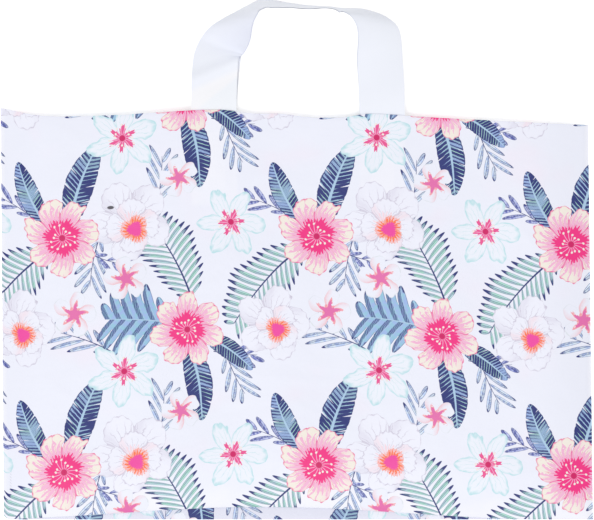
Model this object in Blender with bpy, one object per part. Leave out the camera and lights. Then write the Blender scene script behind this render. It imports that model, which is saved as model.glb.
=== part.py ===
"""Plastic carrier bag with two soft loop handles, lying flat on its back panel.

The body is one film: from the hem of the back panel it runs over the mouth, down the back,
into the folded bottom gusset, up the front and over the mouth into the front hem.
The two long sides are welded shut. Each handle is a ribbon welded inside its own hem.
Metres, +X across the bag, +Y towards the handles, +Z up from the table.
"""
import math

import bmesh
import bpy
from mathutils import Vector

# The bag as it lies
BAG_WIDTH = 0.500
BAG_HEIGHT = 0.345
FILM_THICKNESS = 0.0001
HEM_DEPTH = 0.045
GUSSET_DEPTH = 0.050

# Folds: how far apart the layers lie, in the middle and where the side welds pinch them
LAYER_PITCH = 0.0006
PINCHED_PITCH = 0.0003
PINCH_REACH = 0.040
FOLD_STEPS = 4

# How the front panel stands off the back panel, held up by the air inside
FRONT_LIFT = 0.0085
SIDE_SLOPE = 0.055
BOTTOM_SLOPE = 0.050
SLOPE_POWER = 2.2
RIPPLE_HEIGHT = 0.0005
RIPPLE_LENGTH = 0.125
CROSS_RIPPLE_LENGTH = 0.160
RIPPLE_SLANT = 0.35

# The front fold of the gusset lies higher than the back fold, most near the middle
FOLD_RISE = 0.0107
FOLD_RISE_CENTRE = -0.030
FOLD_RISE_REACH = 0.250

# The outline as it lies: the bag leans a little, and its mouth is a soft wave
LEAN = 0.0034
FLARE = 0.003
MOUTH_WAVE = (
    (-1.00, 0.0065),
    (-0.86, 0.0000),
    (-0.66, 0.0000),
    (-0.27, 0.0050),
    (-0.11, 0.0020),
    (0.16, 0.0005),
    (0.30, 0.0015),
    (0.50, -0.0020),
    (1.00, -0.0080),
)

# Side welds
WELD_WIDTH = 0.0025
WELD_OVERHANG = 0.0010
WELD_END = 0.0005
WELD_BASE = 0.00002
WELD_COVER = 0.0001

# Handles
RIBBON_WIDTH = 0.0389
RIBBON_THICKNESS = 0.0002
RIBBON_CLEARANCE = 0.0003
LEG_SPACING = 0.1438
HANDLE_CENTRE = 0.0022
LEG_INSIDE = 0.080
LOOP_RISE = 0.0985
NEST_GAP = 0.0012
TABLE_CLEARANCE = 0.0005
DROOP_START = 0.008
DROOP_REACH = 0.060

# Stations along the loop from mouth to mouth. Each gives where the ribbon's outer edge is, as
# a share of the way across the legs and as metres below the top of the loop, then how far the
# ribbon has turned in plan and how far it has stood up on that edge, in degrees.
LOOP_STATIONS = (
    (0.000, LOOP_RISE, 0.0, 0.0),
    (0.002, 0.0720, 0.0, 0.0),
    (0.008, 0.0500, -2.0, 2.0),
    (0.064, 0.0280, -13.0, 9.0),
    (0.150, 0.0140, -16.0, 46.0),
    (0.270, 0.0035, -35.0, 73.0),
    (0.390, 0.0000, -85.0, 78.0),
    (0.550, 0.0038, -92.0, 84.0),
    (0.710, 0.0068, -110.0, 87.0),
    (0.800, 0.0082, -166.0, 71.0),
    (0.900, 0.0125, -171.0, 51.0),
    (0.964, 0.0260, -175.0, 28.0),
    (0.985, 0.0470, -177.0, 13.0),
    (0.995, 0.0720, -180.0, 0.0),
    (1.000, LOOP_RISE, -180.0, 0.0),
)

# Mesh density. The side stations are shares of the way from a side weld to the middle.
SIDE_STATIONS = (0.0, 0.016, 0.048, 0.096, 0.16, 0.25, 0.36, 0.5, 0.65, 0.8)
MIDDLE_STATIONS = 3
PANEL_STEPS = 12
PANEL_CROWDING = 1.35
RIBBON_STEPS_ACROSS = 4
RIBBON_STEPS_INSIDE = 4
RIBBON_STEPS_PER_STATION = 3
TANGENT_STEP = 0.01

# Finish, as linear colours
FILM_COLOUR = (0.86, 0.89, 0.97, 1.0)
RIBBON_COLOUR = (0.87, 0.89, 0.98, 1.0)
FILM_ROUGHNESS = 0.38
RIBBON_ROUGHNESS = 0.42


def ease(share):
    """A soft step from 0 to 1."""
    share = min(max(share, 0.0), 1.0)
    return share * share * (3.0 - 2.0 * share)


def through(knots, values, at):
    """The value at one place on a smooth curve through the values given at the knots."""
    last = len(knots) - 1
    i = 0
    while i < last - 1 and at > knots[i + 1]:
        i += 1
    span = knots[i + 1] - knots[i]
    share = (at - knots[i]) / span

    def slope(j):
        before = max(j - 1, 0)
        after = min(j + 1, last)
        return (values[after] - values[before]) / (knots[after] - knots[before])

    square = share * share
    cube = square * share
    return (
        values[i] * (2.0 * cube - 3.0 * square + 1.0)
        + slope(i) * (span * (cube - 2.0 * square + share))
        + values[i + 1] * (3.0 * square - 2.0 * cube)
        + slope(i + 1) * (span * (cube - square))
    )


def layer_pitch(x):
    """Height from one folded layer to the next."""
    share = ease((BAG_WIDTH / 2.0 - abs(x)) / PINCH_REACH)
    return PINCHED_PITCH + (LAYER_PITCH - PINCHED_PITCH) * share


def mouth_edge(x):
    """Where the mouth's edge lies, measured from the back bottom fold."""
    knots = [share * BAG_WIDTH / 2.0 for share, _ in MOUTH_WAVE]
    offsets = [offset for _, offset in MOUTH_WAVE]
    return BAG_HEIGHT + through(knots, offsets, x)


def front_fold(x):
    """Where the front bottom fold lies, measured from the back bottom fold."""
    share = min(abs(x - FOLD_RISE_CENTRE) / FOLD_RISE_REACH, 1.0)
    return FOLD_RISE * math.cos(share * math.pi / 2.0) ** 2


def front_height(x, y):
    """Height of the front panel's middle over the table."""
    from_side = min((BAG_WIDTH / 2.0 - abs(x)) / SIDE_SLOPE, 1.0)
    from_fold = min((y - front_fold(x)) / BOTTOM_SLOPE, 1.0)
    across = 1.0 - (1.0 - max(from_side, 0.0)) ** SLOPE_POWER
    along = 1.0 - (1.0 - max(from_fold, 0.0)) ** SLOPE_POWER
    ripple = math.sin(2.0 * math.pi * (x + RIPPLE_SLANT * y) / RIPPLE_LENGTH)
    ripple += math.sin(2.0 * math.pi * (y - RIPPLE_SLANT * x) / CROSS_RIPPLE_LENGTH)
    low = FILM_THICKNESS / 2.0 + 3.0 * layer_pitch(x)
    return low + (FRONT_LIFT + RIPPLE_HEIGHT * ripple) * across * along


def front_hem_height(x, y):
    """Height of the hem that hangs under the front panel's edge."""
    return front_height(x, y) - layer_pitch(x)


def back_hem_height(x):
    """Height of the hem that lies on the back panel."""
    return FILM_THICKNESS / 2.0 + layer_pitch(x)


def lean(point):
    """Puts a point of the straight bag where the leaning bag has it."""
    down = 1.0 - point.y / BAG_HEIGHT
    return Vector((point.x * (1.0 + FLARE * down) + LEAN * down, point.y, point.z))


def fold_arc(edge, low, high, outwards):
    """A half-round fold between two heights, whose outermost line is at the edge."""
    radius = abs(high - low) / 2.0
    centre_y = edge - outwards * radius
    points = []
    for i in range(FOLD_STEPS + 1):
        angle = math.pi * i / FOLD_STEPS
        y = centre_y + outwards * radius * math.sin(angle)
        z = (low + high) / 2.0 + (low - high) / 2.0 * math.cos(angle)
        points.append(Vector((0.0, y, z)))
    return points


def panel_row(x):
    """The front panel from its bottom fold to the mouth, closer together where it curves."""
    radius = layer_pitch(x) / 2.0
    bottom = front_fold(x) + radius
    top = mouth_edge(x) - radius
    points = []
    for i in range(1, PANEL_STEPS):
        share = (i / PANEL_STEPS) ** PANEL_CROWDING
        y = bottom + (top - bottom) * share
        points.append(Vector((0.0, y, front_height(x, y))))
    return points


def film_section(x):
    """The middle of the film at one place across the bag, from hem to hem."""
    pitch = layer_pitch(x)
    radius = pitch / 2.0
    mouth = mouth_edge(x)
    fold = front_fold(x)
    crease = GUSSET_DEPTH + fold / 2.0
    floor = FILM_THICKNESS / 2.0
    hem_edge = mouth - HEM_DEPTH
    hem_top = mouth - radius

    row = [Vector((0.0, y, floor + pitch)) for y in (hem_edge, mouth - HEM_DEPTH / 2.0)]
    row += fold_arc(mouth, floor + pitch, floor, 1.0)
    row.append(Vector((0.0, mouth / 2.0, floor)))
    row += fold_arc(0.0, floor, floor + pitch, -1.0)
    row += fold_arc(crease, floor + pitch, floor + 2.0 * pitch, 1.0)
    row += fold_arc(fold, floor + 2.0 * pitch, floor + 3.0 * pitch, -1.0)
    row += panel_row(x)
    row += fold_arc(mouth, front_height(x, hem_top), front_hem_height(x, hem_top), 1.0)
    for y in (mouth - HEM_DEPTH / 2.0, hem_edge):
        row.append(Vector((0.0, y, front_hem_height(x, y))))
    return [lean(Vector((x, point.y, point.z))) for point in row]


def stations_across():
    """Places across the bag, closer together near the side welds."""
    half = BAG_WIDTH / 2.0
    left = [half * (share - 1.0) for share in SIDE_STATIONS]
    gap = -2.0 * left[-1] / (MIDDLE_STATIONS + 1)
    middle = [left[-1] + gap * (i + 1) for i in range(MIDDLE_STATIONS)]
    return left + middle + [-x for x in reversed(left)]


def sheet_mesh(name, rows):
    """A sheet of triangles through rows of points."""
    bm = bmesh.new()
    grid = [[bm.verts.new(point) for point in row] for row in rows]
    for near, far in zip(grid, grid[1:]):
        for i in range(len(near) - 1):
            bm.faces.new((near[i], near[i + 1], far[i + 1], far[i]))
    bmesh.ops.triangulate(bm, faces=bm.faces[:])
    mesh = bpy.data.meshes.new(name)
    bm.to_mesh(mesh)
    bm.free()
    mesh.shade_smooth()
    return mesh


def plastic(name, colour, roughness):
    """A soft satin plastic."""
    material = bpy.data.materials.new(name)
    material.use_nodes = True
    shader = material.node_tree.nodes["Principled BSDF"]
    shader.inputs["Base Color"].default_value = colour
    shader.inputs["Roughness"].default_value = roughness
    shader.inputs["Metallic"].default_value = 0.0
    return material


def sheet_object(name, rows, thickness, material):
    """A sheet with its thickness set evenly about its middle."""
    mesh = sheet_mesh(name, rows)
    mesh.materials.append(material)
    sheet = bpy.data.objects.new(name, mesh)
    bpy.context.scene.collection.objects.link(sheet)
    wall = sheet.modifiers.new("film thickness", "SOLIDIFY")
    wall.thickness = thickness
    wall.offset = 0.0
    wall.use_even_offset = True
    return sheet


def weld_bar(side):
    """The bead of melted film that closes one long side of the bag."""
    half = BAG_WIDTH / 2.0
    inner = side * (half - WELD_WIDTH + WELD_OVERHANG)
    outer = side * (half + WELD_OVERHANG)
    top = FILM_THICKNESS / 2.0 + 3.0 * PINCHED_PITCH + WELD_COVER
    ends = (-WELD_END, mouth_edge(side * half) + WELD_END)
    bm = bmesh.new()
    corners = {}
    for i, x in enumerate((inner, outer)):
        for j, y in enumerate(ends):
            for k, z in enumerate((WELD_BASE, top)):
                corners[i, j, k] = bm.verts.new(lean(Vector((x, y, z))))
    for axis in range(3):
        for end in (0, 1):
            loop = []
            for first, second in ((0, 0), (0, 1), (1, 1), (1, 0)):
                key = [first, second]
                key.insert(axis, end)
                loop.append(corners[tuple(key)])
            bm.faces.new(loop)
    bmesh.ops.recalc_face_normals(bm, faces=bm.faces[:])
    mesh = bpy.data.meshes.new("side weld")
    bm.to_mesh(mesh)
    bm.free()
    bar = bpy.data.objects.new("side weld", mesh)
    bar.hide_render = True
    bar.display_type = "WIRE"
    bpy.context.scene.collection.objects.link(bar)
    return bar


def make_body():
    """The folded film with its two sides welded shut."""
    rows = [film_section(x) for x in stations_across()]
    film = plastic("printed film", FILM_COLOUR, FILM_ROUGHNESS)
    body = sheet_object("bag_body", rows, FILM_THICKNESS, film)
    bars = [weld_bar(-1.0), weld_bar(1.0)]
    for bar in bars:
        weld = body.modifiers.new("side weld", "BOOLEAN")
        weld.operation = "UNION"
        weld.solver = "EXACT"
        weld.object = bar
    return body, bars


def loop_frame(at):
    """The ribbon's outer edge, its direction across and how far past the mouth it is."""
    knots = list(range(len(LOOP_STATIONS)))
    share, drop, turn, stand = (
        through(knots, [station[i] for station in LOOP_STATIONS], at) for i in range(4)
    )
    span = LEG_SPACING + RIBBON_WIDTH
    x = HANDLE_CENTRE + span * (share - 0.5)
    y = BAG_HEIGHT + LOOP_RISE - drop
    turn = math.radians(turn)
    stand = math.radians(stand)
    flat = math.cos(stand)
    across = Vector((flat * math.cos(turn), flat * math.sin(turn), math.sin(stand)))
    return Vector((x, y, 0.0)), across, y - BAG_HEIGHT


def leg_heights(x, y):
    """Heights of the front and the rear handle's legs inside the mouth."""
    gap = FILM_THICKNESS / 2.0 + RIBBON_CLEARANCE + RIBBON_THICKNESS / 2.0
    return front_hem_height(x, y) - gap, back_hem_height(x) + gap


def loop_row(at, nested):
    """Points across the ribbon at one place along the loop outside the bag."""
    end = len(LOOP_STATIONS) - 1
    edge, across, past = loop_frame(at)
    before = loop_frame(max(at - TANGENT_STEP, 0.0))
    after = loop_frame(min(at + TANGENT_STEP, end))
    middle = RIBBON_WIDTH / 2.0
    along = (after[0] + after[1] * middle) - (before[0] + before[1] * middle)
    normal = across.cross(along).normalized()
    droop = ease((past - DROOP_START) / DROOP_REACH)
    low = NEST_GAP + TABLE_CLEARANCE
    points = []
    for i in range(RIBBON_STEPS_ACROSS + 1):
        point = edge + across * (RIBBON_WIDTH * i / RIBBON_STEPS_ACROSS)
        front, rear = leg_heights(point.x, point.y)
        point.z += front + (low - front) * droop
        if nested:
            depth = front - rear
            point -= normal * (depth + (NEST_GAP - depth) * droop)
        points.append(point)
    return points


def leg_row(at_end, share, nested):
    """Points across a leg inside the bag, on the way from its welded end to the mouth."""
    start = loop_row(at_end, nested)
    points = []
    for point in start:
        y = BAG_HEIGHT - LEG_INSIDE * (1.0 - share)
        front, rear = leg_heights(point.x, y)
        height = rear if nested else front
        points.append(Vector((point.x, y, height)))
    return points


def make_handle(name, nested, material):
    """One ribbon: up one leg, round the loop on its edge and down the other leg."""
    end = len(LOOP_STATIONS) - 1
    inside = [i / RIBBON_STEPS_INSIDE for i in range(RIBBON_STEPS_INSIDE)]
    rows = [leg_row(0, share, nested) for share in inside]
    for i in range(end * RIBBON_STEPS_PER_STATION + 1):
        rows.append(loop_row(i / RIBBON_STEPS_PER_STATION, nested))
    rows += [leg_row(end, share, nested) for share in reversed(inside)]
    return sheet_object(name, rows, RIBBON_THICKNESS, material)


def centre_on_origin(pieces, guides):
    """Moves every mesh so that the bag's box stands centred over the origin."""
    points = [vertex.co for piece in pieces for vertex in piece.data.vertices]
    middle_x = (min(p.x for p in points) + max(p.x for p in points)) / 2.0
    middle_y = (min(p.y for p in points) + max(p.y for p in points)) / 2.0
    for piece in pieces + guides:
        for vertex in piece.data.vertices:
            vertex.co.x -= middle_x
            vertex.co.y -= middle_y


def main():
    for old in list(bpy.data.objects):
        bpy.data.objects.remove(old, do_unlink=True)
    body, bars = make_body()
    ribbon = plastic("handle ribbon", RIBBON_COLOUR, RIBBON_ROUGHNESS)
    front = make_handle("front_handle", False, ribbon)
    rear = make_handle("rear_handle", True, ribbon)
    centre_on_origin([body, front, rear], bars)


main()
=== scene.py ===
# %% [markdown]
# # A plastic carrier bag, laid flat
#
# The real bag is one long piece of printed film. A machine folds it over at the mouth, folds it
# inwards at the bottom so that it can open into a flat base, and melts its two sides shut. Two
# soft ribbons are melted onto the hems as handles.
#
# This lesson dresses a model of that bag that already has its real size. It loads the plain
# solids first, and everything that follows is placed from their boxes.

# %% Load the solids
import math

import bpy
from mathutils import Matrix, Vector, noise


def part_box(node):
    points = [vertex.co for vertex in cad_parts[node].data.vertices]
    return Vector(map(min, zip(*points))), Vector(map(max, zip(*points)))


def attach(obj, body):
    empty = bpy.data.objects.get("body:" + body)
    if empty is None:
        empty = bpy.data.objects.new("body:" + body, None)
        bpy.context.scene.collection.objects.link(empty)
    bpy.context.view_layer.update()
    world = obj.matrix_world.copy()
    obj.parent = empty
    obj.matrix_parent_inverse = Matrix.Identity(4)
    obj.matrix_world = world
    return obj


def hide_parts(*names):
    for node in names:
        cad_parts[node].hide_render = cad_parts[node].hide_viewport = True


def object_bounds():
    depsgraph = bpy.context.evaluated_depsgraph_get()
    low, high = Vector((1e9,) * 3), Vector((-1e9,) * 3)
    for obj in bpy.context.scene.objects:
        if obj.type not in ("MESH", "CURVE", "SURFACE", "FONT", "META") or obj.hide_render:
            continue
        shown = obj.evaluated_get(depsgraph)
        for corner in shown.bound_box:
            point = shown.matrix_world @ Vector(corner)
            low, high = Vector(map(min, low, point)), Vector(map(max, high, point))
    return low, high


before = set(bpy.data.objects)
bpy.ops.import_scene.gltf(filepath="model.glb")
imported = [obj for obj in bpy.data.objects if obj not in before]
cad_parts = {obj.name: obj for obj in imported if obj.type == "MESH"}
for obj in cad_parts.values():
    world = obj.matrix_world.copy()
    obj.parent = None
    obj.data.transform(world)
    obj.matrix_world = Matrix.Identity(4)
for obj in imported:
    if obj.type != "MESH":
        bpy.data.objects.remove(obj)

solid_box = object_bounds()
bag_low, bag_high = (Vector(corner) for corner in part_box("bag_body"))
whole_low, whole_high = (Vector(corner) for corner in solid_box)
scene = bpy.context.scene
print("bag body", bag_low[:], bag_high[:])
print("whole bag", whole_low[:], whole_high[:])

# %% [markdown]
# ## Camera
#
# The bag is seen from straight above, and its picture has almost no perspective: the top of a
# handle that stands up is no larger than the film beside it. A long lens far away gives that
# look. The lens follows from how wide a piece of the table the picture shows, and that is a few
# millimetres more than the bag itself.

# %% Camera
PICTURE_WIDTH = 0.5077
PICTURE_MIDDLE = Vector((0.0002, 0.0000))
CAMERA_HEIGHT = 6.0
SENSOR_WIDTH = 36.0

camera = bpy.data.cameras.new("camera")
camera.sensor_fit = "HORIZONTAL"
camera.sensor_width = SENSOR_WIDTH
camera.lens = SENSOR_WIDTH * CAMERA_HEIGHT / PICTURE_WIDTH
camera.clip_end = 20.0
camera_object = bpy.data.objects.new("camera", camera)
camera_object.location = (PICTURE_MIDDLE.x, PICTURE_MIDDLE.y, CAMERA_HEIGHT)
scene.collection.objects.link(camera_object)
scene.camera = camera_object
print("lens", round(camera.lens), "mm, the picture is", PICTURE_WIDTH, "m wide")

# %% [markdown]
# ## Drawing with numbers
#
# The print is drawn by the material itself, out of shapes that are worked out from the place on
# the film. Each shape is a small formula, and in a node tree each step of a formula is a Math
# node. Placing hundreds of those by hand is slow and hard to read, so a field stands for one
# number that changes over the surface: adding two fields, or taking the sine of one, adds the
# right node and gives back a new field. The light and the floor use a field as well.

# %% Fields
TURN = 2.0 * math.pi


class Field:
    """A number that changes over the surface, and the node socket that holds it."""

    def __init__(self, tree, socket):
        self.tree = tree
        self.socket = socket

    def through(self, operation, *others):
        node = self.tree.nodes.new("ShaderNodeMath")
        node.operation = operation
        for socket, value in zip(node.inputs, (self, *others)):
            plug(self.tree, value, socket)
        return Field(self.tree, node.outputs[0])

    def __add__(self, other):
        return self.through("ADD", other)

    def __sub__(self, other):
        return self.through("SUBTRACT", other)

    def __mul__(self, other):
        return self.through("MULTIPLY", other)

    def __truediv__(self, other):
        return self.through("DIVIDE", other)

    def __pow__(self, power):
        return self.through("POWER", power)

    __radd__ = __add__

    def size(self):
        return self.through("ABSOLUTE")

    def part(self):
        """What is left of the number past its whole part."""
        return self.through("FRACT")

    def whole(self):
        return self.through("FLOOR")

    def stripes(self):
        """1 at each whole number, and 0 halfway between two."""
        return (self.part() - 0.5).size() * 2.0

    def sine(self):
        return self.through("SINE")

    def least(self, other):
        return self.through("MINIMUM", other)

    def most(self, other):
        return self.through("MAXIMUM", other)

    def from_one(self):
        """One minus the number."""
        return self.through("MULTIPLY_ADD", -1.0, 1.0)

    def step(self, start, end):
        """A soft step, 0 before the start and 1 past the end."""
        node = self.tree.nodes.new("ShaderNodeMapRange")
        node.interpolation_type = "SMOOTHSTEP"
        for name, value in (("Value", self), ("From Min", start), ("From Max", end)):
            plug(self.tree, value, node.inputs[name])
        return Field(self.tree, node.outputs["Result"])

    def below(self, edge, soft=0.02):
        """1 where the number is under the edge, and 0 over it."""
        return (self - edge).step(-soft, soft).from_one()


def plug(tree, value, socket):
    """Links a field or a socket, or sets a plain number or colour."""
    if isinstance(value, Field):
        tree.links.new(value.socket, socket)
    elif isinstance(value, bpy.types.NodeSocket):
        tree.links.new(value, socket)
    else:
        socket.default_value = value


def paint(tree, share, under, over):
    """One colour laid over another where the share is 1."""
    node = tree.nodes.new("ShaderNodeMix")
    node.data_type = "RGBA"
    plug(tree, share, node.inputs[0])
    plug(tree, under, node.inputs[6])
    plug(tree, over, node.inputs[7])
    return node.outputs[2]


def layered(tree, skin, *layers):
    """Inks laid over a ground one after the other, each as its share and its colour."""
    for share, colour in layers:
        skin = paint(tree, share, skin, colour)
    return skin


def vector_of(tree, x, y, z=0.0):
    """Three numbers joined into one vector."""
    join = tree.nodes.new("ShaderNodeCombineXYZ")
    for socket, value in zip(join.inputs, (x, y, z)):
        plug(tree, value, socket)
    return join.outputs[0]


def uneven(tree, x, y, scale, seed, detail=1.0):
    """A soft random field from about -0.5 to 0.5."""
    cloud = tree.nodes.new("ShaderNodeTexNoise")
    cloud.inputs["Scale"].default_value = scale
    cloud.inputs["Detail"].default_value = detail
    tree.links.new(vector_of(tree, x, y, seed), cloud.inputs["Vector"])
    return Field(tree, cloud.outputs["Fac"]) - 0.5


MOTIF_PLACE = {"Along": 0.0, "Across": 0.0, "Seed": 0.0}


def add_socket(tree, way, kind, label, value=None):
    """Adds an input or an output to a group, and its first value."""
    socket = tree.interface.new_socket(label, in_out=way, socket_type="NodeSocket" + kind)
    if value is not None:
        socket.default_value = value


def new_group(name, numbers, colours):
    """A node group with these inputs, as fields, and these inks."""
    tree = bpy.data.node_groups.new(name, "ShaderNodeTree")
    for kind, values in (("Float", numbers), ("Color", colours)):
        for label, value in values.items():
            add_socket(tree, "INPUT", kind, label, value)
    entry = tree.nodes.new("NodeGroupInput")
    fields = {label: Field(tree, entry.outputs[label]) for label in numbers}
    inks = {label: entry.outputs[label] for label in colours}
    return tree, fields, inks


RESULT_KINDS = {"Colour": "Color", "Cover": "Float", "Found": "Vector", "Score": "Float"}


def close_group(tree, **results):
    """Gives a finished group its outputs, such as a colour and where it covers, and returns it."""
    for label in results:
        add_socket(tree, "OUTPUT", RESULT_KINDS[label], label)
    ending = tree.nodes.new("NodeGroupOutput")
    for label, value in results.items():
        plug(tree, value, ending.inputs[label])
    print("group", tree.name, "has", len(tree.nodes), "nodes")
    return tree


def use_group(tree, group, values):
    """Puts a group to work in another tree, and gives its outputs."""
    node = tree.nodes.new("ShaderNodeGroup")
    node.node_tree = group
    for label, value in values.items():
        plug(tree, value, node.inputs[label])
    return node.outputs


def ink(red, green, blue):
    """A colour as a screen shows it, 0 to 255, turned into the linear values that nodes use."""
    def linear(value):
        value = value / 255.0
        if value <= 0.04045:
            return value / 12.92
        return ((value + 0.055) / 1.055) ** 2.4

    return (linear(red), linear(green), linear(blue), 1.0)


GROUND = ink(239, 241, 253)
HOT_PINK = ink(243, 58, 136)
DEEP_PINK = ink(208, 36, 104)
RIM_PINK = ink(236, 92, 152)
BLUSH = ink(245, 186, 217)
CREAM = ink(245, 238, 228)
NAVY = ink(50, 58, 120)
VIOLET_BLUE = ink(116, 124, 196)
SKY = ink(162, 188, 234)
AQUA = ink(152, 202, 226)
MINT = ink(172, 216, 208)
RIB = ink(176, 206, 232)
GHOST = ink(239, 243, 253)
GHOST_MINT = ink(192, 228, 235)
PALE_BLUE = ink(222, 236, 250)
PEARL = ink(241, 242, 254)
DUST = ink(202, 196, 214)
PEACH = ink(249, 176, 158)
ORANGE = ink(252, 126, 84)
MAGENTA = ink(242, 80, 166)
MARK = ink(96, 94, 128)
SOOT = ink(48, 44, 52)

# %% [markdown]
# ## Light and floor
#
# The studio is white all round, which lights the film evenly. One large soft lamp hangs high in
# front and a little to the left, so that folds and waves in the film still show. The lamp and
# the world together bring a white sheet just to white, and each colour comes out as it is
# written.
#
# The floor takes the bag's faint shadow. What the camera, or a reflection, sees of it is lifted
# to white by a little light of its own that lights nothing else.

# %% Light and floor
WORLD_STRENGTH = 0.70
LAMP_POWER = 96.0
LAMP_SIZE = 3.0
LAMP_PLACE = Vector((-0.9, -1.9, 4.9))
FLOOR_SIZE = 6.0
FLOOR_TONE = 0.93
FLOOR_LIFT = 0.45
WHITE = (1.0, 1.0, 1.0, 1.0)


def seen_directly(tree):
    """A field that is 1 for the camera, for reflections and for what is seen through film."""
    path = tree.nodes.new("ShaderNodeLightPath").outputs
    seen = Field(tree, path["Is Camera Ray"])
    return seen.most(path["Is Glossy Ray"]).most(path["Is Transmission Ray"])


def surface(name):
    """A new material, its node tree and its Principled shader."""
    material = bpy.data.materials.new(name)
    material.use_nodes = True
    return material, material.node_tree, material.node_tree.nodes["Principled BSDF"]


world = bpy.data.worlds.new("studio")
scene.world = world
world.use_nodes = True
sky = world.node_tree
background = sky.nodes["Background"]
background.inputs["Color"].default_value = WHITE
sky_level = seen_directly(sky) * (1.0 - WORLD_STRENGTH) + WORLD_STRENGTH
plug(sky, sky_level, background.inputs["Strength"])

lamp = bpy.data.lights.new("soft lamp", "AREA")
lamp.shape = "SQUARE"
lamp.size = LAMP_SIZE
lamp.energy = LAMP_POWER
lamp_object = bpy.data.objects.new("soft lamp", lamp)
lamp_object.location = LAMP_PLACE
lamp_object.rotation_euler = (-LAMP_PLACE).to_track_quat("-Z", "Y").to_euler()
scene.collection.objects.link(lamp_object)

bpy.ops.object.select_all(action="DESELECT")
bpy.ops.mesh.primitive_plane_add(size=FLOOR_SIZE, location=(0.0, 0.0, whole_low.z - 0.0001))
floor = bpy.context.object
floor.name = "floor"
floor_material, floor_tree, floor_shader = surface("studio floor")
for label, value in (
    ("Base Color", (FLOOR_TONE, FLOOR_TONE, FLOOR_TONE, 1.0)), ("Roughness", 0.9),
    ("Specular IOR Level", 0.0), ("Emission Color", WHITE),
    ("Emission Strength", seen_directly(floor_tree) * FLOOR_LIFT),
):
    plug(floor_tree, value, floor_shader.inputs[label])
floor.data.materials.append(floor_material)

scene.view_settings.view_transform = "Standard"
print("floor at", round(floor.location.z, 5), "m")

# %% [markdown]
# ## A bloom
#
# Every flower in the print is the same formula with other numbers. Distance and direction from
# the flower's middle give the petals: their number, how deep the notch between two is, and how
# ruffled the edge. From the middle outwards a petal goes from the throat's strong colour over
# blush to the petal's own, and fine streaks make each border ragged, as brush strokes do.

# %% The bloom group
def make_bloom():
    tree, number, colour = new_group(
        "bloom",
        {
            **MOTIF_PLACE, "Petals": 5.0, "Notch": 0.35, "Point": 3.5, "Ruffle": 0.05,
            "Throat": 0.42, "Star": 0.2, "Blush Reach": 0.25, "Rim": 0.06, "Streaks": 7.0,
            "Lines": 0.6,
        },
        {"Throat Ink": HOT_PINK, "Blush Ink": BLUSH, "Petal Ink": CREAM, "Rim Ink": RIM_PINK},
    )
    x, y = number["Along"], number["Across"]
    wobble = uneven(tree, x, y, 2.3, number["Seed"])
    grain = uneven(tree, x, y, 11.0, number["Seed"], 2.0)
    radius = (x * x + y * y) ** 0.5
    turns = y.through("ARCTAN2", x) / TURN
    bent = turns + radius * 0.035 + wobble * 0.05
    place = (bent * number["Petals"]).part() - 0.5
    away = place.size() * 2.0
    fringe = (turns * (TURN * 31.0)).sine() * 0.5 + grain * 2.2
    outline = (away ** number["Point"] * number["Notch"]).from_one() + wobble * 0.24
    outline = outline + fringe * number["Ruffle"]
    inside = outline - radius
    streak = (bent * number["Petals"] * number["Streaks"] + grain * 0.7).stripes()
    ragged = streak * 0.55 + grain * 0.8
    throat_edge = (away * number["Star"]).from_one() * number["Throat"]
    throat_edge = throat_edge + ragged * number["Throat"] * 0.55
    in_throat = radius.below(throat_edge, 0.012)
    in_blush = radius.below(throat_edge + number["Blush Reach"] * (ragged * 1.6 + 0.25), 0.03)
    shaded_side = place.step(0.05, 0.42) * (streak * 0.5 + 0.45)
    rim_reach = number["Rim"] * (ragged * 1.3 + 0.3)
    rim_soft = number["Rim"] * 0.7
    rim = inside.step(rim_reach - rim_soft, rim_reach + rim_soft).from_one()
    seam = radius.step(0.25, 0.5) * 0.05 + 0.03
    petal_line = away.from_one().below(seam) * radius.below(0.86, 0.1)
    vein = streak.below(0.13, 0.06) * radius.step(0.3, 0.42) * radius.below(0.72, 0.12)
    skin = layered(
        tree, colour["Petal Ink"],
        (shaded_side * 0.75, colour["Blush Ink"]),
        (in_blush, colour["Blush Ink"]),
        (vein.most(petal_line) * number["Lines"], colour["Rim Ink"]),
        (rim, colour["Rim Ink"]),
        (in_throat, colour["Throat Ink"]),
    )
    return close_group(tree, Colour=skin, Cover=inside.step(0.0, 0.02))


bloom = make_bloom()

# %% [markdown]
# ## A broad leaf
#
# A broad leaf is a long lens with a rib down its middle. Slanting veins are stripes counted
# along the leaf and swept back towards the edge; every few veins the blade is torn in to make
# the ragged edge that wind gives such leaves.

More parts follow.
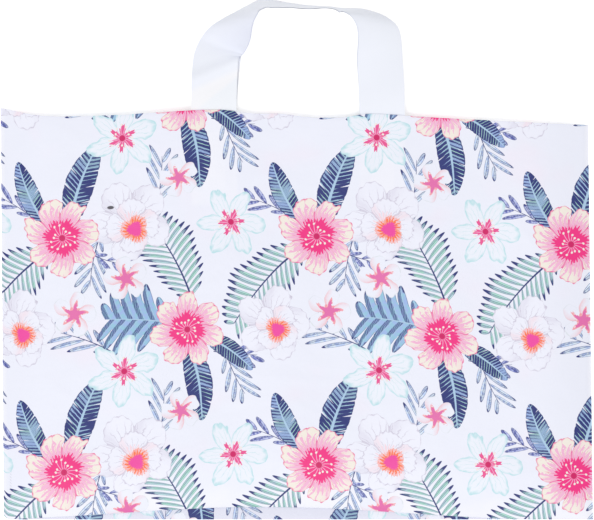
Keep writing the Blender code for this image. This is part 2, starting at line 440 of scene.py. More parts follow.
# %% The broad leaf group
def make_broad_leaf():
    tree, number, colour = new_group(
        "broad leaf",
        {**MOTIF_PLACE, "Width": 0.16, "Veins": 20.0, "Slant": 0.55, "Tears": 0.5},
        {"Dark Ink": NAVY, "Cool Ink": SKY, "Fresh Ink": MINT, "Rib Ink": RIB},
    )
    x, y = number["Along"], number["Across"]
    wobble = uneven(tree, x, y, 3.0, number["Seed"])
    grain = uneven(tree, x, y, 26.0, number["Seed"])
    bend = y - (x * math.pi).sine() * 0.05 + wobble * 0.01
    half = ((x * math.pi).sine().most(0.0) ** 0.55) * number["Width"]
    side = bend.size() / half.most(0.001)
    other_half = bend.step(-0.001, 0.001)
    vein_at = x - bend.size() * number["Slant"] + other_half * 0.013
    vein = vein_at * number["Veins"]
    band = (vein + grain * 0.25).stripes()
    fine = (vein * 3.0 + grain * 0.8).stripes()
    mood = uneven(tree, vein_at, other_half, 5.0, number["Seed"] + 3.0, 2.0)
    tear_at = (vein * 0.27 + mood * 0.9 + other_half * 0.4).stripes()
    tear = tear_at.below((side - 0.42) * number["Tears"] * 0.5) * side.step(0.4, 0.48)
    blade = side.below(1.0 + grain * 0.14) * tear.from_one()
    blade = blade * x.step(0.0, 0.012) * x.below(1.0, 0.005)
    shade = mood * 2.0 + wobble * 2.0 + 0.58 + side * 0.1
    rib_half = x.from_one() * 0.016 + 0.006
    on_rib = bend.size().below(rib_half, 0.003) * x.step(-0.16, -0.15) * x.below(0.97, 0.01)
    skin = layered(
        tree, colour["Cool Ink"],
        ((mood * 3.4 + 0.5).step(0.0, 1.0), colour["Fresh Ink"]),
        (fine.below(0.34 + mood * 0.9, 0.08) * 0.75, colour["Dark Ink"]),
        (band.below(shade, 0.1), colour["Dark Ink"]),
        (side.step(0.9, 0.97) * blade, colour["Dark Ink"]),
        (on_rib, colour["Rib Ink"]),
    )
    return close_group(tree, Colour=skin, Cover=blade.most(on_rib))


broad_leaf = make_broad_leaf()

# %% [markdown]
# ## A frond
#
# Palm fronds, slim sprigs and the deeply cut leaf are all a rib with leaflets to both sides, and
# differ in how many leaflets there are, how wide, how long, and whether they join near the rib.

# %% The frond group
def make_frond():
    tree, number, colour = new_group(
        "frond",
        {
            **MOTIF_PLACE, "Leaflets": 13.0, "Slant": 0.9, "Reach": 0.42, "Fullness": 0.36,
            "Web": 0.0, "Bend": 0.12, "Dark": 0.5, "Tips": 0.7,
        },
        {"Dark Ink": NAVY, "Body Ink": MINT, "Cool Ink": AQUA, "Rib Ink": NAVY},
    )
    x, y = number["Along"], number["Across"]
    grain = uneven(tree, x, y, 14.0, number["Seed"])
    bend = y - x * x * number["Bend"]
    out = bend.size()
    other_half = bend.step(-0.001, 0.001)
    curl = out * out * 0.5
    root = x - out * number["Slant"] + curl
    count = root * number["Leaflets"] + other_half * 0.43
    slot = count.part() - 0.5
    root_at = (count.whole() + 0.5 - other_half * 0.43) / number["Leaflets"]
    spread = ((root_at * 0.86 + 0.1) * math.pi).sine().most(0.0) ** 0.7 * number["Reach"]
    spread = spread * ((count.whole() * 7.3).sine() * 0.08 + 1.0)
    outwards = out / spread.most(0.001)
    lens = (outwards * outwards.from_one() * 4.0).most(0.0) ** 0.6 * number["Fullness"]
    joined = outwards.below(number["Web"])
    leaflet = (slot.size() - lens).below(0.0, 0.035)
    on_leaf = leaflet.most(joined) * outwards.below(0.99)
    on_leaf = on_leaf * root_at.step(-0.02, 0.0) * root_at.below(0.98, 0.01)
    middle = slot.size().below(0.035)
    shaded = (slot + grain * 0.35).step(-0.02, 0.12) * number["Dark"]
    to_tip = outwards + slot.size() * 0.5 + grain * 0.35
    tip = to_tip.step(number["Tips"], number["Tips"] + 0.12)
    hatch = (outwards * 9.0 + slot * 7.0 + grain * 2.0).stripes().below(0.5, 0.15)
    edge = (lens - slot.size()).below(0.05, 0.03) * joined.from_one()
    on_rib = out.below(x.from_one() * 0.006 + 0.004, 0.003) * x.step(-0.12, -0.11)
    on_rib = on_rib * x.below(0.97, 0.01)
    skin = layered(
        tree, colour["Body Ink"],
        ((grain * 3.0 + 0.5).step(0.1, 0.9), colour["Cool Ink"]),
        (shaded * (hatch * 0.5 + 0.5), colour["Dark Ink"]),
        (tip.most(edge * 0.7) * number["Dark"].step(0.0, 0.2), colour["Dark Ink"]),
        (middle * 0.8, colour["Rib Ink"]),
        (on_rib, colour["Rib Ink"]),
    )
    return close_group(tree, Colour=skin, Cover=on_leaf.most(on_rib))


frond = make_frond()

# %% [markdown]
# ## Stamens
#
# A ring of fine stamens with a bead on each end fills the middle of the larger flowers. The
# direction is cut into equal slots, with one stamen in each slot, some longer than others.

# %% The stamen group
def make_stamens():
    tree, number, colour = new_group(
        "stamens",
        {**MOTIF_PLACE, "Count": 15.0},
        {"Stalk Ink": BLUSH, "Bead Ink": CREAM, "Heart Ink": DEEP_PINK},
    )
    x, y = number["Along"], number["Across"]
    radius = (x * x + y * y) ** 0.5
    turns = y.through("ARCTAN2", x) / TURN + radius * 0.12
    slots = turns * number["Count"]
    off = (slots.part() - 0.5) * radius * TURN / number["Count"]
    length = (slots.whole() * 5.1 + number["Seed"]).sine() * 0.08 + 0.27
    stalk = off.size().below(0.008, 0.006) * radius.below(length, 0.01)
    beyond = radius - length
    bead = ((off * off + beyond * beyond) ** 0.5).below(0.030, 0.008)
    heart = radius.below(0.085, 0.015)
    skin = layered(
        tree, colour["Stalk Ink"], (bead, colour["Bead Ink"]), (heart, colour["Heart Ink"])
    )
    return close_group(tree, Colour=skin, Cover=stalk.most(bead).most(heart))


stamens = make_stamens()

# %% [markdown]
# ## Finding the nearest motif
#
# A roller prints the film, so the design repeats after each turn of the roller. Each motif is
# laid in a tile of that size, by its middle or root, its direction and its size. The way to it
# is wrapped round the tile, so that a leaf that leaves one side comes back in at the other.
#
# All motifs of one kind share one formula. So for each kind, the material first looks for the
# one motif that is nearest, and then draws that one only.

# %% The place group
REPEAT_ACROSS = 0.217
REPEAT_ALONG = 0.196
MM = 0.001
SEED_STEP = 3.1
NOTHING_NEAR = (9.0, 9.0, 0.0)
FAR_SCORE = 99.0


def vector_math(tree, operation, *values):
    """A vector operation, as the socket that holds what it gives."""
    node = tree.nodes.new("ShaderNodeVectorMath")
    node.operation = operation
    for socket, value in zip(node.inputs, values):
        plug(tree, value, socket)
    gives_number = operation in ("DOT_PRODUCT", "LENGTH")
    return node.outputs["Value" if gives_number else "Vector"]


def make_place():
    tree = bpy.data.node_groups.new("nearest motif", "ShaderNodeTree")
    for label in ("Film", "Middle", "Axis", "Stretch", "Shift", "Found"):
        add_socket(tree, "INPUT", "Vector", label)
    for label in ("Seed", "Score"):
        add_socket(tree, "INPUT", "Float", label)
    entry = tree.nodes.new("NodeGroupInput").outputs
    half = Vector((REPEAT_ACROSS / 2.0, REPEAT_ALONG / 2.0, 1.0))
    way = vector_math(tree, "SUBTRACT", entry["Film"], entry["Middle"])
    way = vector_math(tree, "WRAP", way, half, -half)
    side = vector_math(tree, "CROSS_PRODUCT", (0.0, 0.0, 1.0), entry["Axis"])
    along, across = (
        vector_math(tree, "DOT_PRODUCT", way, axis) for axis in (entry["Axis"], side)
    )
    here = vector_of(tree, along, across, entry["Seed"])
    reach = vector_math(tree, "MULTIPLY_ADD", here, entry["Stretch"], entry["Shift"])
    score = Field(tree, vector_math(tree, "LENGTH", reach))
    best = Field(tree, entry["Score"])
    choice = tree.nodes.new("ShaderNodeMix")
    choice.data_type = "VECTOR"
    plug(tree, score.through("LESS_THAN", best), choice.inputs[0])
    plug(tree, entry["Found"], choice.inputs[4])
    plug(tree, here, choice.inputs[5])
    return close_group(tree, Found=choice.outputs[1], Score=score.least(best))


nearest_motif = make_place()

# %% [markdown]
# ## The print
#
# The list runs from the back of the design to the front. Each kind has its formula, the numbers
# and inks in which it differs from that formula's own, and the places where it is laid.

# %% Kinds of motif
ROUND = ((1.0, 1.0, 0.0), (0.0, 0.0, 0.0))
LONG = ((1.75, 4.4, 0.0), (-0.78, 0.0, 0.0))
SPREAD = ((1.8, 2.1, 0.0), (-0.8, 0.0, 0.0))

FERN = {
    "Leaflets": 16.0, "Slant": 0.7, "Reach": 0.30, "Fullness": 0.32, "Bend": 0.2, "Dark": 0.4,
    "Tips": 0.74, "Body Ink": ink(176, 226, 210), "Cool Ink": ink(190, 222, 228),
}
SPRIG = {
    "Leaflets": 4.0, "Slant": 1.5, "Reach": 0.33, "Fullness": 0.31, "Bend": 0.15, "Dark": 0.45,
    "Tips": 0.86, "Body Ink": PALE_BLUE, "Cool Ink": ink(188, 208, 246),
}
VIOLET_SPRIG = dict(SPRIG, Leaflets=3.0, Dark=0.5, Tips=0.9)
VIOLET_SPRIG.update({"Body Ink": ink(196, 204, 242), "Cool Ink": VIOLET_BLUE})
BROAD = {"Width": 0.168, "Tears": 0.35}
CUT_LEAF = {
    "Leaflets": 6.0, "Slant": 0.75, "Reach": 0.56, "Fullness": 0.44, "Web": 0.46, "Bend": 0.10,
    "Dark": 0.85, "Tips": 0.90, "Body Ink": ink(154, 200, 224), "Cool Ink": SKY, "Rib Ink": RIB,
}
GHOST_BLOOM = {
    "Petals": 6.0, "Notch": 0.60, "Point": 1.7, "Ruffle": 0.02, "Throat": 0.34, "Star": 0.8,
    "Blush Reach": 0.10, "Rim": 0.13, "Streaks": 5.0, "Lines": 0.5,
    "Throat Ink": RIM_PINK, "Blush Ink": GHOST, "Petal Ink": GHOST, "Rim Ink": GHOST_MINT,
}
PEARL_OUTER = {
    "Notch": 0.34, "Point": 2.4, "Ruffle": 0.03, "Throat": 0.10, "Star": 0.3,
    "Blush Reach": 0.12, "Rim": 0.035, "Streaks": 5.0,
    "Throat Ink": DUST, "Blush Ink": ink(222, 219, 236), "Petal Ink": PEARL, "Rim Ink": DUST,
}
PEARL_INNER = {
    "Petals": 4.0, "Notch": 0.25, "Point": 3.0, "Ruffle": 0.04, "Throat": 0.2, "Star": 0.3,
    "Blush Reach": 0.3, "Rim": 0.05, "Streaks": 5.0,
    "Throat Ink": PEACH, "Blush Ink": ink(247, 220, 230), "Petal Ink": PEARL, "Rim Ink": DUST,
}
PEARL_HEART = {
    "Petals": 3.0, "Notch": 0.3, "Ruffle": 0.08, "Throat": 0.50, "Star": 0.3,
    "Blush Reach": 0.3, "Rim": 0.08, "Lines": 0.8,
    "Throat Ink": MAGENTA, "Blush Ink": ORANGE, "Petal Ink": ink(247, 200, 208), "Rim Ink": PEACH,
}
BIG_BLOOM = {
    "Petals": 7.0, "Notch": 0.34, "Point": 2.6, "Ruffle": 0.03, "Blush Reach": 0.34,
    "Rim": 0.045, "Streaks": 5.0,
}
SMALL_BLOSSOM = {
    "Notch": 0.6, "Ruffle": 0.0, "Throat": 0.40, "Star": 0.8, "Blush Reach": 0.14,
    "Rim": 0.045, "Streaks": 2.0, "Lines": 0.0,
    "Throat Ink": ink(230, 116, 176), "Blush Ink": ink(246, 168, 176), "Petal Ink": GROUND,
    "Rim Ink": ink(222, 228, 234),
}

# Each place is a bloom's middle or a leaf's root, across and along in mm, then its direction
# in degrees and its size in mm
KINDS = (
    (frond, FERN, LONG, ((38, 126, 218, 88), (162, 82, 108, 84))),
    (frond, SPRIG, SPREAD, (
        (92, 42, 150, 46), (132, 160, 74, 44), (190, 38, 286, 41), (84, 138, 250, 43),
    )),
    (frond, VIOLET_SPRIG, SPREAD, ((80, 122, 335, 32), (184, 36, 350, 34), (24, 156, 150, 33))),
    (broad_leaf, BROAD, LONG, (
        (58, 146, 70, 74), (40, 146, 116, 58), (158, 46, 280, 68), (172, 50, 326, 50),
    )),
    (frond, CUT_LEAF, SPREAD, ((146, 62, 168, 58),)),
    (bloom, GHOST_BLOOM, ROUND, ((104, 24, 0, 32), (196, 146, 40, 31))),
    (bloom, PEARL_OUTER, ROUND, ((110, 150, 20, 36), (14, 62, 50, 32))),
    (bloom, PEARL_INNER, ROUND, ((112, 146, 60, 23), (17, 58, 20, 20))),
    (bloom, PEARL_HEART, ROUND, ((114, 143, 10, 12), (18, 56, 80, 11))),
    (bloom, BIG_BLOOM, ROUND, ((158, 56, 20, 32), (52, 138, 50, 33))),
    (stamens, {}, ROUND, (
        (158, 56, 200, 32), (52, 138, 320, 33), (104, 24, 0, 32), (196, 146, 40, 31),
    )),
    (bloom, SMALL_BLOSSOM, ROUND, ((106, 102, 0, 19), (62, 74, 50, 19), (152, 184, 10, 17))),
)

# %% Lay the motifs
def make_print():
    """The whole design, from the place on the flat film in metres."""
    tree, number, colour = new_group(
        "flower print", {"Across": 0.0, "Along": 0.0}, {"Ground": GROUND}
    )
    film_place = vector_of(tree, number["Across"], number["Along"])
    skin = colour["Ground"]
    for motif, settings, (stretch, shift), places in KINDS:
        found = NOTHING_NEAR
        score = FAR_SCORE
        for seed, (middle_across, middle_along, turn, size) in enumerate(places):
            angle = math.radians(turn)
            nearest = use_group(tree, nearest_motif, {
                "Film": film_place, "Middle": (middle_across * MM, middle_along * MM, 0.0),
                "Axis": (math.cos(angle) / (size * MM), math.sin(angle) / (size * MM), 0.0),
                "Stretch": stretch, "Shift": shift, "Seed": SEED_STEP * seed,
                "Found": found, "Score": score,
            })
            found = nearest["Found"]
            score = nearest["Score"]
        split = tree.nodes.new("ShaderNodeSeparateXYZ")
        plug(tree, found, split.inputs[0])
        drawn = use_group(tree, motif, {**dict(zip(MOTIF_PLACE, split.outputs)), **settings})
        skin = paint(tree, drawn["Cover"], skin, drawn["Colour"])
    return close_group(tree, Colour=skin)


flower_print = make_print()
print(len(KINDS), "kinds of motif in a tile of", REPEAT_ACROSS, "by", REPEAT_ALONG, "m")

# %% [markdown]
# ## The film
#
# The film is modelled as the machine handles it. A flat grid of the film's full length is added
# first, and its flat layout is kept as the UV map, in metres, so that the print lies on the flat
# film. Then each row of the grid is moved to its place along the folded section: hem, mouth,
# back, bottom folds, front, mouth, hem. The steps are closest in the folds.
#
# In the side welds all layers are melted together, so there they lie right on one another. Air
# holds the front panel up between the welds. The mouth's edge waves a little, and the lower
# left corner is rounded.

# %% The folded section
FILM_WIDTH = 0.500
HALF_WIDTH = FILM_WIDTH / 2.0
FILM_DEPTH = 0.345
FILM_THICKNESS = 0.0001
HALF_FILM = FILM_THICKNESS / 2.0
HEM_DEPTH = 0.045
GUSSET_DEPTH = 0.050
LAYER_PITCH = 0.0006
PINCHED_PITCH = 0.0003
MELTED_PITCH = 0.000105
PINCH_REACH = 0.040
FRONT_LIFT = 0.0085
SIDE_SLOPE = 0.055
BOTTOM_SLOPE = 0.050
SLOPE_POWER = 2.2
RIPPLE_HEIGHT = 0.0005
RIPPLE_LENGTH = 0.125
CROSS_RIPPLE_LENGTH = 0.160
RIPPLE_SLANT = 0.35
BAND_HEIGHT = 0.0016
BAND_DENSITY = Vector((13.0, 4.0, 0.0))
WAVE_HEIGHT = 0.0007
WAVE_DENSITY = Vector((30.0, 22.0, 0.0))
FOLD_RISE = 0.0107
FOLD_RISE_CENTRE = -0.030
FOLD_RISE_REACH = 0.250
CORNER_RISE = 0.0035
CORNER_REACH = 0.006
LEAN = 0.0034
FLARE = 0.003
WELD_OVERHANG = 0.0010
WELD_WIDTH = 0.0025
WELD_END = 0.0005
OUTER_HALF = HALF_WIDTH + WELD_OVERHANG
MOUTH_WAVE = (
    (-1.00, 0.0065), (-0.86, 0.0000), (-0.66, 0.0000), (-0.27, 0.0050), (-0.14, 0.0020),
    (-0.05, 0.0018), (0.02, -0.0004), (0.08, -0.0017), (0.17, -0.0013), (0.25, 0.0014),
    (0.38, 0.0000), (0.50, -0.0020), (1.00, -0.0080),
)


def ease(share):
    """A soft step from 0 to 1."""
    share = min(max(share, 0.0), 1.0)
    return share * share * (3.0 - 2.0 * share)


def through_points(knots, values, at):
    """The value at one place on a smooth curve through the values given at the knots."""
    last = len(knots) - 1
    i = 0
    while i < last - 1 and at > knots[i + 1]:
        i += 1
    span = knots[i + 1] - knots[i]
    share = (at - knots[i]) / span

    def slope(j):
        before = max(j - 1, 0)
        after = min(j + 1, last)
        return (values[after] - values[before]) / (knots[after] - knots[before])

    square = share * share
    cube = square * share
    return (
        values[i] * (2.0 * cube - 3.0 * square + 1.0)
        + slope(i) * (span * (cube - 2.0 * square + share))
        + values[i + 1] * (3.0 * square - 2.0 * cube)
        + slope(i + 1) * (span * (cube - square))
    )


def layer_pitch(x):
    """How far apart two layers lie: loose, pinched near a weld, and melted together in it."""
    share = ease((HALF_WIDTH - abs(x)) / PINCH_REACH)
    loose = PINCHED_PITCH + (LAYER_PITCH - PINCHED_PITCH) * share
    free = ease((OUTER_HALF - WELD_WIDTH / 2.0 - abs(x)) / WELD_WIDTH)
    return MELTED_PITCH + (loose - MELTED_PITCH) * free


def mouth_edge(x):
    knots = [share * HALF_WIDTH for share, _ in MOUTH_WAVE]
    return FILM_DEPTH + through_points(knots, [offset for _, offset in MOUTH_WAVE], x)


def bottom_edge(x):
    """The straight lower edge, softly rounded at its left corner."""
    return CORNER_RISE * max((CORNER_REACH - OUTER_HALF - x) / CORNER_REACH, 0.0) ** 2


def front_fold(x):
    """How high the front panel's lower fold lies above the bag's lower edge."""
    share = min(abs(x - FOLD_RISE_CENTRE) / FOLD_RISE_REACH, 1.0)
    return max(FOLD_RISE * math.cos(share * math.pi / 2.0) ** 2, bottom_edge(x))


def soft_waves(x, y):
    """Long soft bands down the film, and shorter waves over them."""
    bands = noise.noise(Vector((x * BAND_DENSITY.x, (y + x * 0.3) * BAND_DENSITY.y, 7.0)))
    waves = noise.noise(Vector(((x - y * 0.4) * WAVE_DENSITY.x, y * WAVE_DENSITY.y, 2.0)))
    return BAND_HEIGHT * bands + WAVE_HEIGHT * waves


def front_height(x, y):
    """Height of the front panel before its small creases."""
    from_side = max(min((HALF_WIDTH - abs(x)) / SIDE_SLOPE, 1.0), 0.0)
    from_fold = max(min((y - front_fold(x)) / BOTTOM_SLOPE, 1.0), 0.0)
    across = 1.0 - (1.0 - from_side) ** SLOPE_POWER
    along = 1.0 - (1.0 - from_fold) ** SLOPE_POWER
    ripple = math.sin(TURN * (x + RIPPLE_SLANT * y) / RIPPLE_LENGTH)
    ripple += math.sin(TURN * (y - RIPPLE_SLANT * x) / CROSS_RIPPLE_LENGTH)
    low = HALF_FILM + 3.0 * layer_pitch(x)
    return low + (FRONT_LIFT + RIPPLE_HEIGHT * ripple + soft_waves(x, y)) * across * along


# %% Small creases
CREASE_HEIGHT = 0.00030
CREASE_SCALE = 18.0
CRINKLE_HEIGHT = 0.00010
CRINKLE_SCALE = 60.0
CREASE_FADE = 0.02


def creases(x, y):
    """Soft creases and finer crinkles, fading out towards the panel's edges."""
    from_side = ease((HALF_WIDTH - abs(x)) / CREASE_FADE)
    from_fold = ease((y - front_fold(x)) / CREASE_FADE)
    from_mouth = ease((mouth_edge(x) - y) / CREASE_FADE)
    place = Vector((x * 0.7 + y * 0.3, y - x * 0.25, 0.0))
    ridge = 1.0 - abs(noise.noise(place * CREASE_SCALE)) * 7.0
    fine = noise.noise(place * CRINKLE_SCALE)
    height = CREASE_HEIGHT * max(ridge, 0.0) ** 2 + CRINKLE_HEIGHT * fine
    return height * from_side * from_fold * from_mouth


def leaning_x(x, y):
    """How far across a point of the straight bag is once the bag leans."""
    down = 1.0 - y / FILM_DEPTH
    return x * (1.0 + FLARE * down) + LEAN * down


# Where the straight bag's middle and bottom fold lie in the frame: its upper left corner is the
# point that lies furthest left
corner_height = mouth_edge(-HALF_WIDTH) + WELD_END
MIDDLE_X = bag_low.x - leaning_x(-OUTER_HALF, corner_height)
BOTTOM_Y = bag_low.y + WELD_END


def lean(x, y, z):
    """Puts a point of the straight bag where the leaning bag in the frame has it."""
    return Vector((leaning_x(x, y) + MIDDLE_X, y + BOTTOM_Y, z))


FOLD_STEPS = 6
BACK_STEPS = 40
FRONT_STEPS = 110
HEM_STEPS = 12
LEG_STEPS = 14
COLUMNS = 130


def fold_arc(edge, low, high, outwards):
    """The inner points of a half-round fold whose outermost line is at the edge."""
    radius = abs(high - low) / 2.0
    points = []
    for i in range(1, FOLD_STEPS):
        angle = math.pi * i / FOLD_STEPS
        y = edge - outwards * radius * (1.0 - math.sin(angle))
        points.append((y, (low + high) / 2.0 + (low - high) / 2.0 * math.cos(angle)))
    return points


def between(start, end, steps):
    """Places from start to end, both included."""
    return [start + (end - start) * i / steps for i in range(steps + 1)]


def film_section(x):
    """The middle of the film at one place across the bag, as (y, z) from hem to hem."""
    pitch = layer_pitch(x)
    radius = pitch / 2.0
    mouth = mouth_edge(x)
    base = bottom_edge(x)
    fold = front_fold(x)
    crease = GUSSET_DEPTH + fold / 2.0
    first, second, third, fourth = (HALF_FILM + pitch * layer for layer in range(4))
    top = mouth - radius
    row = [(y, second) for y in between(mouth - HEM_DEPTH, top, HEM_STEPS)]
    row += fold_arc(mouth, second, first, 1.0)
    row += [(y, first) for y in between(top, base + radius, BACK_STEPS)]
    row += fold_arc(base, first, second, -1.0)
    row += [(y, second) for y in between(base + radius, crease - radius, LEG_STEPS)]
    row += fold_arc(crease, second, third, 1.0)
    row += [(y, third) for y in between(crease - radius, fold + radius, LEG_STEPS)]
    row += fold_arc(fold, third, fourth, -1.0)
    for y in between(fold + radius, top, FRONT_STEPS):
        row.append((y, front_height(x, y) + creases(x, y)))
    hem_top = front_height(x, top)
    row += fold_arc(mouth, hem_top, hem_top - pitch, 1.0)
    for y in between(top, mouth - HEM_DEPTH, HEM_STEPS):
        row.append((y, front_height(x, y) - pitch))
    return row


def flat_lengths(points):
    """How far along its flat sheet each point of a row is."""
    lengths = [0.0]
    for near, far in zip(points, points[1:]):
        lengths.append(lengths[-1] + math.dist(near, far))
    return lengths


middle_row = film_section(0.0)
film_lengths = flat_lengths(middle_row)
BACK_MOUTH_ROW = HEM_STEPS + FOLD_STEPS // 2
FRONT_MOUTH_ROW = len(middle_row) - 1 - BACK_MOUTH_ROW
FRONT_FOLD_ROW = FRONT_MOUTH_ROW - FOLD_STEPS - FRONT_STEPS
back_mouth = film_lengths[BACK_MOUTH_ROW]
front_mouth = film_lengths[FRONT_MOUTH_ROW]
front_bottom = film_lengths[FRONT_FOLD_ROW]
back_bottom = film_lengths[HEM_STEPS + 2 * FOLD_STEPS + BACK_STEPS]
print("mouth at", round(back_mouth, 4), "and", round(front_mouth, 4))
print("front bottom fold at", round(front_bottom, 4))

# %% [markdown]
# The grid primitive comes with a UV map that runs from 0 to 1 both ways. Its two numbers say
# which column and row a vertex belongs to, so the same numbers move the vertex to its folded
# place and give its place on the flat film.

# %% Fold the grid
SIDE_CROWDING = 1.35


def column_place(share):
    """Places across the bag, closer together near the side welds."""
    side = 2.0 * share - 1.0
    return math.copysign(1.0 - (1.0 - abs(side)) ** SIDE_CROWDING, side) * OUTER_HALF


def add_grid(name, columns, rows):
    """A flat unit grid with a UV map, alone in the selection."""
    bpy.ops.object.select_all(action="DESELECT")
    bpy.ops.mesh.primitive_grid_add(x_subdivisions=columns, y_subdivisions=rows, size=1.0)
    sheet = bpy.context.object
    sheet.name = name
    return sheet


def fold_sheet(sheet, columns, rows, place_of, flat_of):
    """Moves each vertex of a unit grid to its place, and its UV to its flat place in metres."""
    mesh = sheet.data
    key = []
    for vertex in mesh.vertices:
        column = round((vertex.co.x + 0.5) * columns)
        row = round((vertex.co.y + 0.5) * rows)
        key.append((column, row))
        vertex.co = place_of(column, row)
    layout = mesh.uv_layers.active.data
    for loop in mesh.loops:
        layout[loop.index].uv = flat_of(*key[loop.vertex_index])
    mesh.update()


def thicken(sheet, thickness, inner_slot=0):
    """Gives a sheet its thickness, evenly to both sides, and applies it."""
    bpy.ops.object.select_all(action="DESELECT")
    sheet.select_set(True)
    bpy.context.view_layer.objects.active = sheet
    wall = sheet.modifiers.new("thickness", "SOLIDIFY")
    wall.thickness = thickness
    wall.offset = 0.0
    wall.use_even_offset = True
    wall.material_offset = inner_slot
    bpy.ops.object.modifier_apply(modifier=wall.name)
    bpy.ops.object.shade_smooth_by_angle(angle=math.radians(50.0))


film_rows = len(middle_row) - 1
columns_x = [column_place(i / COLUMNS) for i in range(COLUMNS + 1)]
sections = [film_section(x) for x in columns_x]
film = add_grid("printed_film", COLUMNS, film_rows)
fold_sheet(
    film, COLUMNS, film_rows,
    lambda column, row: lean(columns_x[column], *sections[column][row]),
    lambda column, row: (columns_x[column] + OUTER_HALF, film_lengths[row]),
)
print("film grid", len(film.data.vertices), "vertices")

# %% [markdown]
# ## The film's finish
#
# The film is polythene tinted milky white: satin rather than glossy, with very fine crinkles
# that catch the light. The print is on the outer face only, and shows faintly through to the
# inner face.
#
# The bare film is not one even white. It is whiter where another layer touches it: along the
# side welds, near the bottom fold and where a handle is welded behind it. The strip of the
# folded-in bottom that shows below the front panel lies in the fold's shade, which is painted:
# it is greyer, and a thin line of the same painted shade runs along the fold. A row of
# faint pressed dashes by the lower left weld and one dark speck on the front are the only marks.

# %% Film materials
SHEEN = 0.25
FILM_CRINKLE = 0.0004
HANDLE_CENTRE = 0.0031
LEG_SPACING = 0.1438
LEG_INSIDE = 0.080
RIBBON_WIDTH = 0.0389
# on the flat film: how far each band reaches, and each mark's middle and half its size
SIDE_BAND = 0.0032
FOLD_BAND = 0.014
PATCH_MIDDLE = 0.043
PATCH_HALF = (0.0095, 0.024)
GUSSET_SHADE_BAND = 0.016
PRESS_PLACE = (0.0062, 0.028)
PRESS_HALF = (0.0006, 0.014)
PRESS_PITCH = 0.0024
SPECK_PLACE = (0.0935, front_bottom + 0.769 * (front_mouth - front_bottom))
SPECK_HALF = (0.0024, 0.0011)


def flat_place(tree):
    """The place on the flat sheet, in metres across and along."""
    layout = tree.nodes.new("ShaderNodeUVMap")
    layout.uv_map = "UVMap"
    split = tree.nodes.new("ShaderNodeSeparateXYZ")
    tree.links.new(layout.outputs["UV"], split.inputs[0])
    return Field(tree, split.outputs[0]), Field(tree, split.outputs[1])


def finish(tree, shader, skin, fine, height, roughness):
    """The colour, very fine crinkles as bump, and a slightly uneven satin gloss."""
    bump = tree.nodes.new("ShaderNodeBump")
    bump.inputs["Distance"].default_value = height
    plug(tree, fine, bump.inputs["Height"])
    for label, value in (
        ("Base Color", skin), ("Normal", bump.outputs["Normal"]),
        ("Roughness", roughness), ("Specular IOR Level", SHEEN),
    ):
        plug(tree, value, shader.inputs[label])


def make_film_tone():
    """The bare film: whiter where other layers touch it, with what lies behind faintly seen, and
    painted shade below and along the front's bottom fold.
    """
    tree, number, colour = new_group(
        "film tone", {"Across": 0.0, "Along": 0.0},
        {
            "Free Ink": GROUND, "Touching Ink": ink(248, 248, 255),
            "Show Through Ink": ink(244, 237, 250), "Gusset Shade Ink": ink(227, 228, 243), "Mark Ink": MARK,
        },
    )
    across, along = number["Across"], number["Along"]
    cloud = uneven(tree, across, along, 21.0, 1.0, 2.0)
    mottle = uneven(tree, across, along, 60.0, 4.0)
    off_middle = across - OUTER_HALF
    from_side = off_middle.size() * -1.0 + OUTER_HALF
    at_side = from_side.below(SIDE_BAND + cloud * 0.003, 0.0012)
    above_fold = along - front_bottom
    at_fold = above_fold.below(FOLD_BAND + cloud * 0.03, 0.009) * above_fold.step(0.0, 0.0006)
    off_leg = ((off_middle - HANDLE_CENTRE).size() - LEG_SPACING / 2.0).size()
    below_mouth = (along - front_mouth).size().least((along - back_mouth).size())
    on_leg = off_leg.below(RIBBON_WIDTH / 2.0, 0.0018) * below_mouth.below(LEG_INSIDE, 0.0025)
    on_patch = off_leg.below(PATCH_HALF[0], 0.001)
    on_patch = on_patch * (below_mouth - PATCH_MIDDLE).size().below(PATCH_HALF[1], 0.001)
    touching = (at_side * 0.5).most(at_fold * 0.7).most(on_leg * 0.4 + on_patch * 0.2)
    above_bottom = along - back_bottom
    gusset_shade = above_bottom.step(-0.0006, 0.0006) * above_bottom.below(GUSSET_SHADE_BAND, 0.002)
    fold_line_shade = above_fold.size().below(0.0004, 0.0006)
    pressed = (across - PRESS_PLACE[0]).size().below(PRESS_HALF[0], 0.0009)
    pressed = pressed * (above_fold - PRESS_PLACE[1]).size().below(PRESS_HALF[1], 0.002)
    pressed = pressed * ((along + across) * (TURN / PRESS_PITCH)).sine().step(-0.2, 0.8)
    tone = layered(
        tree, colour["Free Ink"],
        # pinkish blotches where what lies behind shows faintly through, not shade
        ((cloud * 5.0).step(0.1, 1.4) * 0.6, colour["Show Through Ink"]),
        (touching * (mottle * 0.5 + 0.9), colour["Touching Ink"]),
        # painted shade: the folded-in strip below the front panel, and a thin line along the fold
        ((gusset_shade * 0.9).most(fold_line_shade * 0.5), colour["Gusset Shade Ink"]),
        (pressed * 0.22, colour["Mark Ink"]),
    )
    return close_group(tree, Colour=tone)


film_tone = make_film_tone()


def speck(tree, across, along):
    """Where one small dark speck sits on the front panel, over the print."""
    far_across = (across - SPECK_PLACE[0]) / SPECK_HALF[0]
    far_along = (along - SPECK_PLACE[1]) / SPECK_HALF[1]
    ragged = uneven(tree, across, along, 60.0, 4.0) * 1.2
    off = (far_across * far_across + far_along * far_along) ** 0.5 + ragged
    return off.step(0.8, 1.3).from_one() * 0.9


